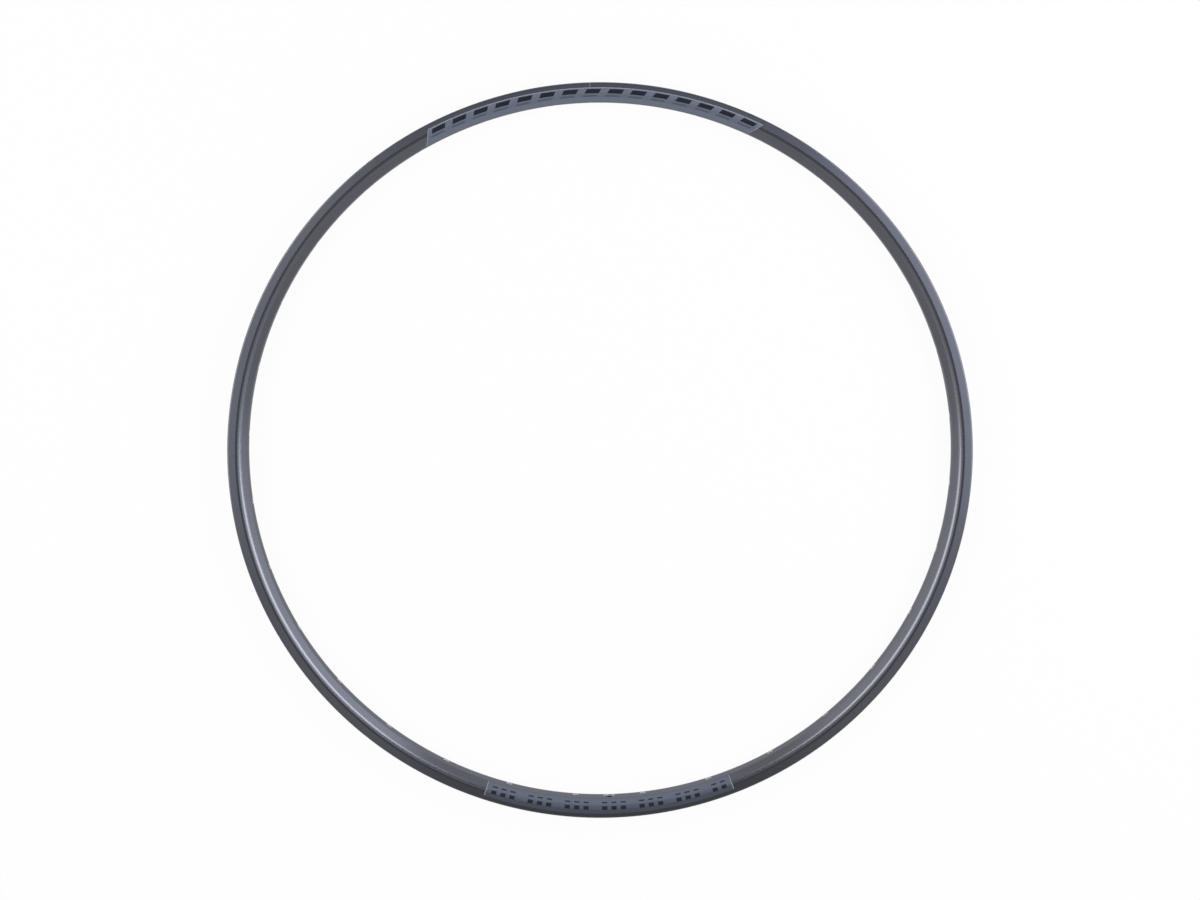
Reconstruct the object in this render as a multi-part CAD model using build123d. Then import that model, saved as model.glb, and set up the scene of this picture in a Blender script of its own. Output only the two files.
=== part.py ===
from build123d import *
import os
from math import cos, degrees, radians, sin, sqrt, tan

# A double-wall rim for a disc-brake bicycle wheel. It lies flat: the wheel's axis is Z through the origin,
# Z = 0 is the middle of the rim, the joint of the hoop is at +Y and the valve hole at -Y.
# All sizes are in millimetres and degrees.

# Tyre side of the section
bead_seat_diameter = 622.0  # where the two beads of the tyre sit
inner_width = 20.0          # between the two hooks
flange_height = 6.0         # bead seat to flange tip
flange_wall = 1.5           # flange below its hook
hook_overhang = 0.75        # how far the hook reaches over the bead seat
hook_height = 2.1           # hook, down from the flange tip to its sloping underside
tip_rise = 1.2              # rounded end of the flange
shelf_width = 3.25          # flat bead seat beside each flange
well_width = 9.0            # flat floor of the centre well
well_depth = 4.1            # bead seat to the floor of the well

# Walls round the chamber
seat_wall = 1.4             # under the bead seats
well_wall = 1.2             # floor and slopes of the well
side_wall = 1.4             # shoulders and slanted walls
bed_wall = 2.2              # spoke bed, which takes the pull of the spokes
chamber_height = 3.4        # between the well and the spoke bed

# Outside of the section
flat_height = 6.25          # flat side, down from the flange tip
shoulder_radius = 8.5       # rolls the flat side over into the slanted wall
wall_angle = 45.0           # how far the shoulder turns
bed_crown = 0.6             # the spoke bed bulges towards the hub by this much
bed_edge_round = 1.2        # between the slanted wall and the spoke bed

# Drilling
spoke_count = 32
spoke_hole_diameter = 4.5
access_hole_diameter = 8.5  # in the tyre bed, to drop the spoke nipples in
valve_hole_diameter = 8.5
drill_reach = 2.0           # how far a drill or saw passes the surface it enters or leaves

# Joint of the hoop
seam_gap = 0.12             # between the two sawn ends
sleeve_length = 46.0        # along the hoop, between the two nearest spoke holes
sleeve_clearance = 0.05     # round the sleeve, inside the chamber

joint_angle = 90.0
valve_angle = 270.0

# Radii and half widths that follow from the sizes above
seat_radius = bead_seat_diameter / 2
tip_radius = seat_radius + flange_height
well_radius = seat_radius - well_depth
chamber_top = well_radius - well_wall
chamber_floor = chamber_top - chamber_height
chamber_middle = (chamber_floor + chamber_top) / 2
bed_radius = chamber_floor - bed_wall
bed_edge_radius = bed_radius + bed_crown
shoulder_start = tip_radius - flat_height
hook_face = inner_width / 2
flange_face = hook_face + hook_overhang
half_width = flange_face + flange_wall
shelf_edge = flange_face - shelf_width
well_edge = well_width / 2
turn = radians(wall_angle)


def shoulder_point(inset, angle):
    """A point of the shoulder, or of the chamber wall inset from it, as (radius, height)."""
    size = shoulder_radius - inset
    centre_height = half_width - shoulder_radius
    return shoulder_start - size * sin(angle), centre_height + size * cos(angle)


def wall_height(inset, radius):
    """Height of the slanted wall at a radius, or of the chamber wall inset from it."""
    end_radius, end_height = shoulder_point(inset, turn)
    return end_height - (end_radius - radius) * tan(turn)


def whole_section(half):
    """Closes half an outline with its mirror image across the middle of the rim."""
    return make_face(half + mirror(half, about=Plane.XZ))


def outer_section():
    """Outline of the extrusion, from the well over the flange and shoulder to the spoke bed."""
    tyre_side = Polyline(
        (well_radius, 0),
        (well_radius, well_edge),
        (seat_radius, shelf_edge),
        (seat_radius, flange_face),
        (tip_radius - hook_height - hook_overhang, flange_face),
        (tip_radius - hook_height, hook_face),
        (tip_radius - tip_rise, hook_face),
    )
    tip_centre = (tip_radius - tip_rise, (hook_face + half_width) / 2)
    tip = EllipticalCenterArc(tip_centre, tip_rise, (half_width - hook_face) / 2, start_angle=-90, arc_size=180)
    side = Line((tip_radius - tip_rise, half_width), (shoulder_start, half_width))
    shoulder = ThreePointArc((shoulder_start, half_width), shoulder_point(0, turn / 2), shoulder_point(0, turn))
    bed_edge = (bed_edge_radius, wall_height(0, bed_edge_radius))
    wall = Line(shoulder_point(0, turn), bed_edge)
    crown_radius = (bed_edge[1] ** 2 + bed_crown**2) / (2 * bed_crown)
    bed = RadiusArc(bed_edge, (bed_radius, 0), -crown_radius)
    face = whole_section(tyre_side + tip + side + shoulder + wall + bed)
    bed_corners = face.vertices().group_by(Axis.X)[0]
    return fillet(bed_corners, bed_edge_round)


def chamber_section(clearance):
    """Outline of the chamber, or of a sleeve that stands clear of its walls."""
    floor = chamber_floor + clearance
    ceiling = chamber_top - clearance
    seat_ceiling = seat_radius - seat_wall - clearance
    inset = side_wall + clearance
    slope_length = sqrt(well_depth**2 + (shelf_edge - well_edge) ** 2)
    slope_run = (shelf_edge - well_edge) / well_depth
    slope_shift = (well_wall + clearance) * slope_length / well_depth

    def slope_height(radius):
        return well_edge + slope_shift + (radius - well_radius) * slope_run

    arc_radius = shoulder_radius - inset
    arc_rise = sqrt(arc_radius**2 - (shoulder_start - seat_ceiling) ** 2)
    seat_corner = (seat_ceiling, half_width - shoulder_radius + arc_rise)
    wall_end = shoulder_point(inset, turn)
    lower = Polyline((floor, 0), (floor, wall_height(inset, floor)), wall_end)
    shoulder = RadiusArc(wall_end, seat_corner, arc_radius)
    upper = Polyline(
        seat_corner,
        (seat_ceiling, slope_height(seat_ceiling)),
        (ceiling, slope_height(ceiling)),
        (ceiling, 0),
    )
    return whole_section(lower + shoulder + upper)


def drill(diameter, start, end, angle):
    """A radial drill between two radii, at an angle round the hoop."""
    place = Rot(0, 0, angle) * Pos((start + end) / 2, 0, 0) * Rot(0, 90, 0)
    return place * Cylinder(diameter / 2, end - start)


def rim_hoop():
    """The rolled extrusion with its holes, sawn through at the joint."""
    section = outer_section() - chamber_section(0)
    hoop = revolve(Plane.XZ * section, Axis.Z)
    inside = bed_radius - drill_reach
    outside = well_radius + drill_reach
    cuts = [drill(valve_hole_diameter, inside, outside, valve_angle)]
    pitch = 360 / spoke_count
    for index in range(spoke_count):
        angle = valve_angle + (index + 0.5) * pitch
        cuts.append(drill(spoke_hole_diameter, inside, chamber_middle, angle))
        cuts.append(drill(access_hole_diameter, chamber_middle, outside, angle))
    section_depth = tip_radius - bed_radius
    saw = Box(section_depth + 2 * drill_reach, seam_gap, 2 * (half_width + drill_reach))
    cuts.append(Rot(0, 0, joint_angle) * Pos((tip_radius + bed_radius) / 2, 0, 0) * saw)
    return hoop - cuts


def joint_sleeve():
    """A length of the chamber's own section, centred on the joint."""
    span = degrees(sleeve_length / chamber_floor)
    sleeve = revolve(Plane.XZ * chamber_section(sleeve_clearance), Axis.Z, revolution_arc=span)
    return Rot(0, 0, joint_angle - span / 2) * sleeve


def write(part, name):
    part.label = name
    export_step(part, f"parts/{name}.step")


os.makedirs("parts", exist_ok=True)
write(rim_hoop(), "rim_hoop")
write(joint_sleeve(), "joint_sleeve")
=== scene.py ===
from math import ceil, cos, pi, radians, sin, tan

import bmesh
import bpy
from mathutils import Matrix, Vector


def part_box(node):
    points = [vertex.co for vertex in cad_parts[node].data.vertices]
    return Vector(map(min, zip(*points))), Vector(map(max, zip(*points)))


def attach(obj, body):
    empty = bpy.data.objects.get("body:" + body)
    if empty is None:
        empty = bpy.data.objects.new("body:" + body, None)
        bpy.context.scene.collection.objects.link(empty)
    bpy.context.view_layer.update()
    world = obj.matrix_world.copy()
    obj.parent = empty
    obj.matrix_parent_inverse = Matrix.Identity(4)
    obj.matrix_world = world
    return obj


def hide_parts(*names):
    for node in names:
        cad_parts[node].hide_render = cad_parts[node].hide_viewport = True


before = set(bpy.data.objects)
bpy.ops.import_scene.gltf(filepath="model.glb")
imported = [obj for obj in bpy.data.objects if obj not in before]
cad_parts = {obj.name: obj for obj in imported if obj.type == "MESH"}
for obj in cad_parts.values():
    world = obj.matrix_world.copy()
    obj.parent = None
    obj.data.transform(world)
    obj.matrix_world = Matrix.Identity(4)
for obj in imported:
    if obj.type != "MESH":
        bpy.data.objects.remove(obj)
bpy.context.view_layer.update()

# Rolled hoop
# An aluminium extrusion with two hooked flanges, a centre well and a closed chamber, rolled into one turn
# and anodised satin black. Its two sawn ends meet at the joint, where they are dressed with emery. Sizes
# are in millimetres.

mm = 0.001
hoop_low, hoop_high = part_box("rim_hoop")
film_thickness = 0.06  # the hoop's faces stand this far inside the CAD box, so that the films stay in it
tip = hoop_high.x / mm - film_thickness
side = hoop_high.z / mm - film_thickness

flange_height = 6.0
flange_wall = 1.5
hook_overhang = 0.75
hook_height = 2.1
shelf_width = 3.25
well_width = 9.0
well_depth = 4.1
well_wall = 1.2
seat_wall = 1.4
side_wall = 1.4
chamber_height = 3.4
bed_wall = 2.2
bed_crown = 0.6
flat_height = 6.25
wall_angle = radians(45)

well_round = 1.2
shelf_round = 0.8
seat_round = 0.6
hook_round = 0.35
tip_round = 1.1
shoulder_round = 8.5
bed_edge_round = 1.2
floor_round = 0.6
inner_shoulder_round = 3.0
ceiling_round = 0.5

seat = tip - flange_height
well = seat - well_depth
ceiling = well - well_wall
chamber_floor = ceiling - chamber_height
bed = chamber_floor - bed_wall
bed_edge = bed + bed_crown
flange_face = side - flange_wall
hook_face = flange_face - hook_overhang
shelf_edge = flange_face - shelf_width
well_edge = well_width / 2
shoulder_start = tip - flat_height
shoulder_corner = shoulder_start - shoulder_round * tan(wall_angle / 2)
wall_foot = side - (shoulder_corner - bed_edge) * tan(wall_angle)

seat_ceiling = seat - seat_wall
inner_side = side - side_wall
inner_corner = shoulder_corner + side_wall * tan(wall_angle / 2)
floor_edge = inner_side - (inner_corner - chamber_floor) * tan(wall_angle)
slope_run = (shelf_edge - well_edge) / well_depth
slope_shift = well_wall * (1 + slope_run**2) ** 0.5


def slope_height(radius):
    """Height of the chamber's wall behind the slope of the well."""
    return well_edge + slope_shift + (radius - well) * slope_run


fewest_arc_steps = 3
widest_arc_turn = radians(11)
longest_arc_step = 0.7


def rounded(corners):
    """Points along half an outline. Each corner is (radius, height, round)."""
    points = []
    for index, (radius, height, size) in enumerate(corners):
        corner = Vector((radius, height))
        if size == 0:
            points.append(corner)
            continue
        back = (Vector(corners[index - 1][:2]) - corner).normalized()
        ahead = (Vector(corners[index + 1][:2]) - corner).normalized()
        turn = pi - back.angle(ahead)
        centre = corner + (back + ahead).normalized() * size / cos(turn / 2)
        start = corner + back * size * tan(turn / 2) - centre
        way = -1 if back.cross(ahead) > 0 else 1
        steps = max(fewest_arc_steps, ceil(turn / widest_arc_turn), ceil(size * turn / longest_arc_step))
        for step in range(steps + 1):
            points.append(centre + Matrix.Rotation(way * turn * step / steps, 2) @ start)
    return points


def whole_outline(half):
    """Half an outline and its mirror image across the middle of the rim, as one loop."""
    other_half = [Vector((point.x, -point.y)) for point in half[-2:0:-1]]
    return half + other_half


crown_steps = 5
crown_points = []
for step in range(crown_steps - 1, 0, -1):
    share = step / crown_steps
    crown_points.append((bed + bed_crown * share**2, wall_foot * share, 0))

outside = whole_outline(rounded([
    (well, 0, 0),
    (well, well_edge, well_round),
    (seat, shelf_edge, shelf_round),
    (seat, flange_face, seat_round),
    (tip - hook_height - hook_overhang, flange_face, hook_round),
    (tip - hook_height, hook_face, hook_round),
    (tip, hook_face, tip_round),
    (tip, side, tip_round),
    (shoulder_corner, side, shoulder_round),
    (bed_edge, wall_foot, bed_edge_round),
    *crown_points,
    (bed, 0, 0),
]))
chamber = whole_outline(rounded([
    (chamber_floor, 0, 0),
    (chamber_floor, floor_edge, floor_round),
    (inner_corner, inner_side, inner_shoulder_round),
    (seat_ceiling, inner_side, ceiling_round),
    (seat_ceiling, slope_height(seat_ceiling), ceiling_round),
    (ceiling, slope_height(ceiling), ceiling_round),
    (ceiling, 0, 0),
]))


def inset_outline(outline, depth):
    """The outline drawn in by a depth, for the broken edge of a sawn end."""
    moved = []
    for index, point in enumerate(outline):
        along = outline[(index + 1) % len(outline)] - outline[index - 1]
        inward = Vector((-along.y, along.x)).normalized()
        moved.append(point + inward * depth)
    return moved


joint_angle = radians(90)
seam_gap = 0.12
seam_break = 0.04
seam_wear = 0.4
hoop_columns = 320
half_gap = seam_gap / 2 / tip
broken_edge = seam_wear / tip
first = joint_angle + half_gap
last = joint_angle + 2 * pi - half_gap
sawn_outline = inset_outline(outside, seam_break)
columns = [(first, sawn_outline)]
for step in range(hoop_columns + 1):
    share = step / hoop_columns
    columns.append((first + broken_edge + (last - first - 2 * broken_edge) * share, outside))
columns.append((last, sawn_outline))

BLACK, BARE, WORN = range(3)
hoop_mesh = bmesh.new()


def ring(outline, angle):
    """The points of an outline, stood up at an angle round the hoop."""
    outward = Vector((cos(angle), sin(angle), 0))
    return [hoop_mesh.verts.new((outward * point.x + Vector((0, 0, point.y))) * mm) for point in outline]


def skin(near, far, material):
    """Faces between two neighbouring rings."""
    for index in range(len(near)):
        face = hoop_mesh.faces.new((near[index - 1], near[index], far[index], far[index - 1]))
        face.material_index = material


outer_rings = [ring(outline, angle) for angle, outline in columns]
inner_rings = [ring(chamber, angle) for angle, outline in columns]
for index in range(len(columns) - 1):
    sawn = index in (0, len(columns) - 2)
    skin(outer_rings[index], outer_rings[index + 1], WORN if sawn else BLACK)
    skin(inner_rings[index], inner_rings[index + 1], BLACK)
for end in (0, -1):
    edges = []
    for loop in (outer_rings[end], inner_rings[end]):
        for index in range(len(loop)):
            edges.append(hoop_mesh.edges.get((loop[index - 1], loop[index])))
    cap = bmesh.ops.triangle_fill(hoop_mesh, use_beauty=True, use_dissolve=False, edges=edges)
    for face in cap["geom"]:
        if isinstance(face, bmesh.types.BMFace):
            face.material_index = BARE
bmesh.ops.recalc_face_normals(hoop_mesh, faces=hoop_mesh.faces)


def new_material(name):
    """A plain finish, with its nodes, its links and its shader."""
    material = bpy.data.materials.new(name)
    material.use_nodes = True
    tree = material.node_tree
    return material, tree.nodes, tree.links, tree.nodes["Principled BSDF"]


def place_on_piece(nodes):
    """The place on the piece, in metres from the wheel's centre."""
    return nodes.new("ShaderNodeTexCoord").outputs["Object"]


def place_in_section(nodes, links, place, with_height):
    """Distance from the wheel's axis, with or without the height, so that a pattern runs round the hoop."""
    flattened = nodes.new("ShaderNodeVectorMath")
    flattened.operation = "MULTIPLY"
    flattened.inputs[1].default_value = (1, 1, 0)
    links.new(place, flattened.inputs[0])
    radius_node = nodes.new("ShaderNodeVectorMath")
    radius_node.operation = "LENGTH"
    links.new(flattened.outputs["Vector"], radius_node.inputs[0])
    section_place = nodes.new("ShaderNodeCombineXYZ")
    links.new(radius_node.outputs["Value"], section_place.inputs["X"])
    if with_height:
        height_node = nodes.new("ShaderNodeSeparateXYZ")
        links.new(place, height_node.inputs["Vector"])
        links.new(height_node.outputs["Z"], section_place.inputs["Y"])
    return section_place.outputs["Vector"]


def grain(nodes, links, place, scale, detail):
    """A noise pattern read at a place, with its scale per metre."""
    pattern = nodes.new("ShaderNodeTexNoise")
    pattern.inputs["Scale"].default_value = scale
    pattern.inputs["Detail"].default_value = detail
    links.new(place, pattern.inputs["Vector"])
    return pattern.outputs["Fac"]


usual_lowest = 0.3  # most of a grain's values lie between these two
usual_highest = 0.7


def spread(nodes, links, pattern, low, high):
    """A pattern with its usual values spread from a low to a high value."""
    range_node = nodes.new("ShaderNodeMapRange")
    range_node.inputs["From Min"].default_value = usual_lowest
    range_node.inputs["From Max"].default_value = usual_highest
    range_node.inputs["To Min"].default_value = low
    range_node.inputs["To Max"].default_value = high
    links.new(pattern, range_node.inputs["Value"])
    return range_node.outputs["Result"]


def total(nodes, links, first_value, second_value):
    """The sum of two patterns."""
    node = nodes.new("ShaderNodeMath")
    node.operation = "ADD"
    links.new(first_value, node.inputs[0])
    links.new(second_value, node.inputs[1])
    return node.outputs["Value"]


def tint(nodes, links, pattern, dark, light):
    """A colour that wanders between a darker and a lighter tone."""
    mix = nodes.new("ShaderNodeMix")
    mix.data_type = "RGBA"
    mix.inputs["A"].default_value = (*dark, 1)
    mix.inputs["B"].default_value = (*light, 1)
    links.new(pattern, mix.inputs["Factor"])
    return mix.outputs["Result"]


def relief(nodes, links, pattern, depth, strength):
    """A fine relief, as deep as given in metres."""
    bump = nodes.new("ShaderNodeBump")
    bump.inputs["Distance"].default_value = depth
    bump.inputs["Strength"].default_value = strength
    links.new(pattern, bump.inputs["Height"])
    return bump.outputs["Normal"]


def satin_black_anodising():
    """Alloy dyed black, with die lines round the hoop, a fine etched grain and a slow drift of the dye."""
    material, nodes, links, shader = new_material("satin_black_anodising")
    place = place_on_piece(nodes)
    section_place = place_in_section(nodes, links, place, with_height=True)
    die_lines = grain(nodes, links, section_place, scale=1400, detail=2)
    etched_grain = grain(nodes, links, place, scale=3600, detail=2)
    dye_drift = grain(nodes, links, place, scale=14, detail=2)
    dye = tint(nodes, links, dye_drift, dark=(0.150, 0.155, 0.176), light=(0.176, 0.182, 0.206))
    links.new(dye, shader.inputs["Base Color"])
    dull_lines = spread(nodes, links, die_lines, low=0.105, high=0.13)
    dull_grain = spread(nodes, links, etched_grain, low=0.11, high=0.12)
    links.new(total(nodes, links, dull_lines, dull_grain), shader.inputs["Roughness"])
    surface = total(nodes, links, die_lines, etched_grain)
    links.new(relief(nodes, links, surface, depth=0.00001, strength=0.05), shader.inputs["Normal"])
    shader.inputs["Metallic"].default_value = 1.0
    shader.inputs["Specular Tint"].default_value = (0.55, 0.55, 0.57, 1)
    return material


def bare_cut_alloy():
    """Bright alloy where a drill or saw went through, with rings left by the drill."""
    material, nodes, links, shader = new_material("bare_cut_alloy")
    place = place_on_piece(nodes)
    cutter_marks = grain(nodes, links, place, scale=2600, detail=3)
    distance = place_in_section(nodes, links, place, with_height=False)
    drill_rings = grain(nodes, links, distance, scale=7000, detail=2)
    metal = tint(nodes, links, cutter_marks, dark=(0.76, 0.77, 0.78), light=(0.86, 0.865, 0.87))
    links.new(metal, shader.inputs["Base Color"])
    links.new(spread(nodes, links, drill_rings, low=0.38, high=0.56), shader.inputs["Roughness"])
    links.new(relief(nodes, links, drill_rings, depth=0.00003, strength=0.6), shader.inputs["Normal"])
    shader.inputs["Metallic"].default_value = 1.0
    return material


def dressed_seam():
    """The edges of the sawn ends, where emery has taken off some of the black."""
    material, nodes, links, shader = new_material("dressed_seam")
    emery_marks = grain(nodes, links, place_on_piece(nodes), scale=3000, detail=3)
    metal = tint(nodes, links, emery_marks, dark=(0.30, 0.31, 0.34), light=(0.42, 0.43, 0.46))
    links.new(metal, shader.inputs["Base Color"])
    links.new(spread(nodes, links, emery_marks, low=0.22, high=0.3), shader.inputs["Roughness"])
    links.new(relief(nodes, links, emery_marks, depth=0.00001, strength=0.3), shader.inputs["Normal"])
    shader.inputs["Metallic"].default_value = 1.0
    shader.inputs["Specular Tint"].default_value = (0.5, 0.5, 0.52, 1)
    return material


def new_piece(name, mesh_data, *materials):
    """An object of the scene from a mesh under work."""
    mesh = bpy.data.meshes.new(name)
    mesh_data.to_mesh(mesh)
    mesh_data.free()
    for material in materials:
        mesh.materials.append(material)
    piece = bpy.data.objects.new(name, mesh)
    bpy.context.scene.collection.objects.link(piece)
    return piece


black_alloy = satin_black_anodising()
bare_alloy = bare_cut_alloy()
worn_alloy = dressed_seam()
hoop = new_piece("rolled_hoop", hoop_mesh, black_alloy, bare_alloy, worn_alloy)

# Drilled holes
# 32 spoke holes through the spoke bed, each with a wider hole in the well to drop the nipple in, and one
# valve hole through both walls. They are drilled after the anodising, so their walls and broken edges are
# bare alloy.

spoke_count = 32
spoke_hole = 4.5 / 2
access_hole = 8.5 / 2
valve_hole = 8.5 / 2
spoke_break = 0.3
access_break = 0.15
valve_break = 0.35
bit_reach = 0.6
spoke_sides = 32
wide_sides = 48
valve_angle = radians(270)
chamber_middle = (chamber_floor + ceiling) / 2
drill_mesh = bmesh.new()


def drill(angle, steps, sides):
    """A closed drill of round steps. Each step is (distance from the wheel's centre, radius)."""
    out = Vector((cos(angle), sin(angle), 0))
    across = Vector((-sin(angle), cos(angle), 0))
    up = Vector((0, 0, 1))
    rings = []
    for distance, size in steps:
        circle = []
        for index in range(sides):
            turn = 2 * pi * (index + 0.5) / sides
            spot = out * distance + (across * cos(turn) + up * sin(turn)) * size
            circle.append(drill_mesh.verts.new(spot * mm))
        rings.append(circle)
    for near, far in zip(rings, rings[1:]):
        for index in range(sides):
            drill_mesh.faces.new((near[index - 1], near[index], far[index], far[index - 1]))
    drill_mesh.faces.new(rings[0])
    drill_mesh.faces.new(rings[-1])


for index in range(spoke_count):
    angle = valve_angle + (index + 0.5) * 2 * pi / spoke_count
    drill(angle, [
        (bed - bit_reach, spoke_hole + spoke_break + bit_reach),
        (bed + spoke_break, spoke_hole),
        (chamber_middle, spoke_hole),
    ], spoke_sides)
    drill(angle, [
        (chamber_middle, access_hole),
        (well - access_break, access_hole),
        (well, access_hole + access_break),
        (seat, access_hole + access_break),
    ], wide_sides)
drill(valve_angle, [
    (bed - bit_reach, valve_hole + valve_break + bit_reach),
    (bed + valve_break, valve_hole),
    (well - access_break, valve_hole),
    (well, valve_hole + access_break),
    (seat, valve_hole + access_break),
], wide_sides)
bmesh.ops.recalc_face_normals(drill_mesh, faces=drill_mesh.faces)
drills = new_piece("drills", drill_mesh, bare_alloy)

drilling = hoop.modifiers.new("drilling", "BOOLEAN")
drilling.operation = "DIFFERENCE"
drilling.solver = "MANIFOLD"
drilling.material_mode = "TRANSFER"
drilling.object = drills
bpy.context.view_layer.update()
drilled = bpy.data.meshes.new_from_object(hoop.evaluated_get(bpy.context.evaluated_depsgraph_get()))
hoop.modifiers.remove(drilling)
hoop.data = drilled
bpy.data.objects.remove(drills)

smallest_edge = 0.002
smooth_limit = radians(32)
deburred = bmesh.new()
deburred.from_mesh(drilled)
bmesh.ops.dissolve_degenerate(deburred, dist=smallest_edge * mm, edges=deburred.edges)
deburred.to_mesh(drilled)
deburred.free()
drilled.shade_smooth()
drilled.set_sharp_from_angle(angle=smooth_limit)
even_light = hoop.modifiers.new("even_shading", "WEIGHTED_NORMAL")
even_light.keep_sharp = True
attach(hoop, "root")
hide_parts("rim_hoop")

# Joint sleeve
# A length of aluminium of the chamber's own section, pressed into both sawn ends of the hoop to hold the
# joint. It is hidden in the chamber and shows only through the seam, so it keeps its CAD shape.

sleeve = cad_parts["joint_sleeve"]
sleeve.data.materials.clear()
sleeve.data.materials.append(bare_alloy)

# Printed films
# Two thin metallised films, printed blue-grey and glued to the upper side of the hoop: a matt one over the
# joint and a satin one at the valve hole. Each has a pale line at its ends and rows of plain bars, and the
# joint film has a pale line along its outer edge too. The joint film's second row, on the shoulder, is the
# same dark print as its first, coloured a metallic mid-tone as a painted reflection of the shoulder's sheen.

film_outer_edge = 4.1  # distances across a film run in from the flange's tip, along the surface
film_inner_edge = 17.8
film_middle = (film_outer_edge + film_inner_edge) / 2
film_width = film_inner_edge - film_outer_edge
measuring_line = 8.0  # lengths along a film are true this far in from the tip
film_radius = tip - measuring_line
glue_line = 0.012
pale_line_width = 0.6
along_step = 3.0
across_step = 0.8
print_unevenness = 0.02
shoulder_length = shoulder_round * wall_angle


def side_place(distance, rise):
    """A point over the side of the hoop, in from the flange's tip along the surface, as (radius, height)."""
    if distance < flat_height:
        return tip - distance, side + rise
    turn = min((distance - flat_height) / shoulder_round, wall_angle)
    beyond = max(distance - flat_height - shoulder_length, 0)
    size = shoulder_round + rise
    radius = shoulder_start - size * sin(turn) - beyond * cos(wall_angle)
    return radius, side - shoulder_round + size * cos(turn) - beyond * sin(wall_angle)


def film_material(name, dark, light, metallic, gloss, dullness):
    """A printed colour under a clear laminate. Metallic colours let the metallised film show through."""
    material, nodes, links, shader = new_material(name)
    print_grain = grain(nodes, links, place_on_piece(nodes), scale=2200, detail=3)
    links.new(tint(nodes, links, print_grain, dark, light), shader.inputs["Base Color"])
    sheen = spread(nodes, links, print_grain, dullness - print_unevenness, dullness + print_unevenness)
    links.new(sheen, shader.inputs["Roughness"])
    links.new(relief(nodes, links, print_grain, depth=0.00001, strength=0.05), shader.inputs["Normal"])
    shader.inputs["Metallic"].default_value = metallic
    shader.inputs["Specular IOR Level"].default_value = gloss
    return material


silver_blue = film_material(
    "film_silver_blue", dark=(0.196, 0.225, 0.282), light=(0.204, 0.233, 0.292),
    metallic=1.0, gloss=0.5, dullness=0.49)
slate_blue = film_material(
    "film_slate_blue", dark=(0.180, 0.207, 0.259), light=(0.188, 0.215, 0.268),
    metallic=1.0, gloss=0.5, dullness=0.31)
dark_ink = film_material(
    "film_dark_bar", dark=(0.005, 0.008, 0.017), light=(0.008, 0.011, 0.022),
    metallic=0.0, gloss=0.3, dullness=0.4)
# the same dark print as the first row, in a metallic mid-tone: a painted reflection washing out the ink on
# the shoulder
ink_with_painted_sheen = film_material(
    "film_bar_painted_sheen", dark=(0.132, 0.152, 0.192), light=(0.144, 0.164, 0.206),
    metallic=1.0, gloss=0.5, dullness=0.45)
pale_line = film_material(
    "film_pale_line", dark=(0.26, 0.27, 0.30), light=(0.30, 0.31, 0.34),
    metallic=0.0, gloss=0.4, dullness=0.4)
FIELD, INK, INK_WITH_PAINTED_SHEEN, LINE = range(4)


def grid_lines(stops, step):
    """Grid lines through all the stops, no further apart than a step."""
    lines = []
    stops = sorted(stops)
    for start, end in zip(stops, stops[1:]):
        count = max(1, ceil((end - start) / step))
        lines += [start + (end - start) * index / count for index in range(count)]
    return lines + [stops[-1]]


def printed_film(name, field, centre, length, lean, outer_line, rows):
    """A film along the hoop, its ends slanted by the lean. Each row is ((near, far), colour, bars)."""
    half = length / 2
    across_stops = {film_outer_edge, film_outer_edge + outer_line, film_inner_edge}
    along_stops = {-half, pale_line_width - half, half - pale_line_width, half}
    for edges, colour, bars in rows:
        across_stops |= set(edges)
        along_stops |= {stop for bar in bars for stop in bar}
    along_lines = grid_lines(along_stops, along_step)
    across_lines = grid_lines(across_stops, across_step)
    mesh = bmesh.new()
    grid = []
    for along in along_lines:
        line = []
        for across in across_lines:
            radius, height = side_place(across, film_thickness)
            angle = centre + (along + lean * (across - film_middle) / film_width) / film_radius
            line.append(mesh.verts.new(Vector((radius * cos(angle), radius * sin(angle), height)) * mm))
        grid.append(line)

    def colour_at(along, across):
        if abs(along) > half - pale_line_width or across < film_outer_edge + outer_line:
            return LINE
        for (near, far), colour, bars in rows:
            if near < across < far and any(start < along < end for start, end in bars):
                return colour
        return FIELD

    for i in range(len(along_lines) - 1):
        for j in range(len(across_lines) - 1):
            face = mesh.faces.new((grid[i][j], grid[i + 1][j], grid[i + 1][j + 1], grid[i][j + 1]))
            along = (along_lines[i] + along_lines[i + 1]) / 2
            across = (across_lines[j] + across_lines[j + 1]) / 2
            face.material_index = colour_at(along, across)
            face.smooth = True
    film = new_piece(name, mesh, field, dark_ink, ink_with_painted_sheen, pale_line)
    sheet = film.modifiers.new("sheet_thickness", "SOLIDIFY")
    sheet.thickness = (film_thickness - glue_line) * mm
    sheet.offset = -1
    film.modifiers.new("even_shading", "WEIGHTED_NORMAL")
    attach(film, "root")


def even_bars(count, pitch, width):
    """Bars of one width at an even pitch about the middle of a film, each as (start, end) along it."""
    bars = []
    for index in range(count):
        middle = (index - (count - 1) / 2) * pitch
        bars.append((middle - width / 2, middle + width / 2))
    return bars


joint_length = 285.0
joint_lean = 8.4
bar_row = (5.3, 9.0)
# the second row lies on the shoulder, where its bars' mid-tone is a painted reflection over the dark print
painted_sheen_row = (10.4, 12.2)
slanted_bars = even_bars(count=15, pitch=18.9, width=12.0)
printed_film(
    "joint_film", silver_blue, joint_angle, joint_length, lean=joint_lean, outer_line=pale_line_width,
    rows=[(bar_row, INK, slanted_bars), (painted_sheen_row, INK_WITH_PAINTED_SHEEN, slanted_bars)])

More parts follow.
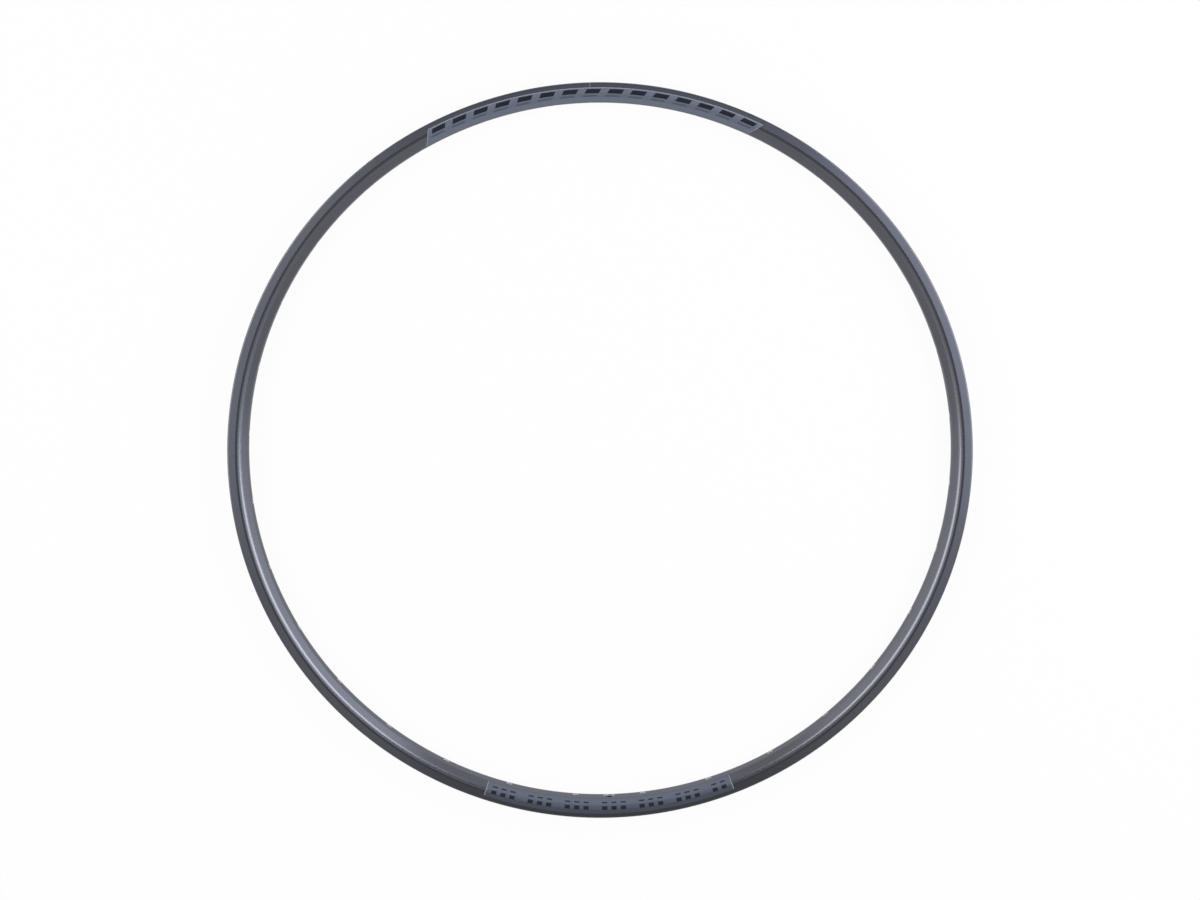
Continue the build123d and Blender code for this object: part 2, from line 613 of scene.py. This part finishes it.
valve_length = 220.0
wide_row = (7.5, 10.7)
narrow_row = (13.4, 14.7)
group_size = 3
small_bars = []
for index, bar in enumerate(even_bars(count=26, pitch=8.2, width=4.6)):
    if index % (group_size + 1) < group_size:
        small_bars.append(bar)
printed_film(
    "valve_film", slate_blue, valve_angle, valve_length, lean=0.0, outer_line=0.0,
    rows=[(wide_row, INK, small_bars), (narrow_row, INK, small_bars)])

# Table
# A plain white table that the rim lies on, wide enough to fill every view. It shows as the white of the
# picture and keeps the rim's own faint shadow.

table_size = 400.0
table_grey = 0.86
table_roughness = 0.9
white_share = 0.95
table_mesh = bmesh.new()
bmesh.ops.create_grid(table_mesh, x_segments=1, y_segments=1, size=table_size / 2)
bmesh.ops.translate(table_mesh, vec=(0, 0, hoop_low.z), verts=table_mesh.verts)
table_white, nodes, links, shader = new_material("white_table")
shader.inputs["Base Color"].default_value = (table_grey, table_grey, table_grey, 1)
shader.inputs["Roughness"].default_value = table_roughness
glow = nodes.new("ShaderNodeEmission")
path = nodes.new("ShaderNodeLightPath")
seen = total(nodes, links, path.outputs["Is Camera Ray"], path.outputs["Is Glossy Ray"])
seen = total(nodes, links, seen, path.outputs["Is Transmission Ray"])
glow_share = nodes.new("ShaderNodeMath")
glow_share.operation = "MULTIPLY"
glow_share.inputs[1].default_value = white_share
links.new(seen, glow_share.inputs[0])
blend = nodes.new("ShaderNodeMixShader")
links.new(glow_share.outputs["Value"], blend.inputs["Fac"])
links.new(shader.outputs["BSDF"], blend.inputs[1])
links.new(glow.outputs["Emission"], blend.inputs[2])
links.new(blend.outputs["Shader"], nodes["Material Output"].inputs["Surface"])
table = new_piece("white_table", table_mesh, table_white)

# Studio light
# Two large soft boxes stand to the left and right of the table, with weaker panels round and above them.
# All of them are in a pale room with a darker ceiling.

# each tone of the room is (height, level), from the horizon at 0 to straight overhead at 1
room_tones = [(0.0, 0.56), (0.35, 0.56), (0.7, 0.5), (0.8, 0.28), (1.0, 0.165)]
room_blue = 1.03
world = bpy.data.worlds.new("pale_room")
bpy.context.scene.world = world
world.use_nodes = True
nodes = world.node_tree.nodes
links = world.node_tree.links
direction = nodes.new("ShaderNodeSeparateXYZ")
links.new(nodes.new("ShaderNodeTexCoord").outputs["Generated"], direction.inputs["Vector"])
tone = nodes.new("ShaderNodeValToRGB")
links.new(direction.outputs["Z"], tone.inputs["Fac"])
ramp = tone.color_ramp
while len(ramp.elements) < len(room_tones):
    ramp.elements.new(1.0)
for stop, (height, level) in zip(ramp.elements, room_tones):
    stop.position = height
    stop.color = (level, level, level * room_blue, 1)
links.new(tone.outputs["Color"], nodes["Background"].inputs["Color"])

box_distance = 1.6  # metres from the middle of the rim
neutral = (1.0, 1.0, 1.0)
warm = (1.02, 1.0, 0.97)
cool = (0.93, 0.97, 1.13)
pale_blue = (0.97, 0.99, 1.07)
blue = (0.85, 0.95, 1.3)


def soft_box(name, azimuth, elevation, width, height, brightness, colour):
    """An area lamp aimed at the middle of the rim, as bright as given where 1 is white."""
    lamp = bpy.data.lights.new(name, "AREA")
    lamp.shape = "RECTANGLE"
    lamp.size = width
    lamp.size_y = height
    lamp.energy = brightness * pi * width * height
    lamp.color = colour
    box = bpy.data.objects.new(name, lamp)
    turn = radians(azimuth)
    rise = radians(elevation)
    box.location = Vector((cos(turn) * cos(rise), sin(turn) * cos(rise), sin(rise))) * box_distance
    box.rotation_mode = "QUATERNION"
    box.rotation_quaternion = box.location.to_track_quat("Z", "Y")
    bpy.context.scene.collection.objects.link(box)


# azimuth and elevation are in degrees, width and height in metres, then come brightness and colour
soft_box("right_box", 15, 45, 1.34, 0.62, 3.85, neutral)
soft_box("right_lower_panel", 15, 23, 2.0, 0.62, 0.97, cool)
soft_box("right_upper_panel", 354, 66.5, 0.62, 0.6, 1.12, cool)
soft_box("right_back_panel", 24, 76, 0.22, 0.2, 0.8, cool)
soft_box("right_side_panel", 328, 42, 0.5, 0.62, 0.28, neutral)
soft_box("left_box", 165, 45, 1.34, 0.62, 3.1, warm)
soft_box("left_lower_panel", 165, 23, 1.9, 0.62, 0.5, neutral)
soft_box("left_upper_panel", 186, 66.5, 0.62, 0.6, 0.66, pale_blue)
soft_box("left_back_panel", 156, 76, 0.22, 0.2, 0.58, pale_blue)
soft_box("left_side_panel", 212, 42, 0.5, 0.62, 0.22, neutral)
soft_box("front_panel", 270, 45, 1.6, 0.62, 0.12, neutral)
soft_box("front_left_panel", 235, 64, 0.32, 0.32, 0.42, neutral)
soft_box("front_right_panel", 305, 64, 0.32, 0.32, 0.42, neutral)
soft_box("back_panel", 90, 80.5, 0.42, 0.2, 0.48, blue)
soft_box("back_lower_panel", 90, 22, 1.3, 0.5, 0.24, cool)

# Camera
# It looks down on the rim from 2 m, tilted towards the joint, with the rim turned a little in the picture.
# The focal length and the rim's drop below the middle of the picture are in pixels.

camera_distance = 2.0
camera_tilt = radians(9.51)
rim_turn = radians(1.53)
picture_width = 1200
focal_length = 2339.0
rim_drop = 7.6
picture_up = Vector((sin(rim_turn), cos(rim_turn), 0))
backward = picture_up * sin(camera_tilt) + Vector((0, 0, cos(camera_tilt)))
rightward = picture_up.cross(backward).normalized()
upward = backward.cross(rightward)
lens = bpy.data.cameras.new("camera")
lens.sensor_width = 36
lens.lens = lens.sensor_width * focal_length / picture_width
lens.shift_y = rim_drop / picture_width
camera = bpy.data.objects.new("camera", lens)
camera.matrix_world = Matrix((rightward, upward, backward)).transposed().to_4x4()
camera.location = backward * camera_distance
bpy.context.scene.collection.objects.link(camera)
bpy.context.scene.camera = camera
bpy.context.scene.view_settings.view_transform = "Standard"
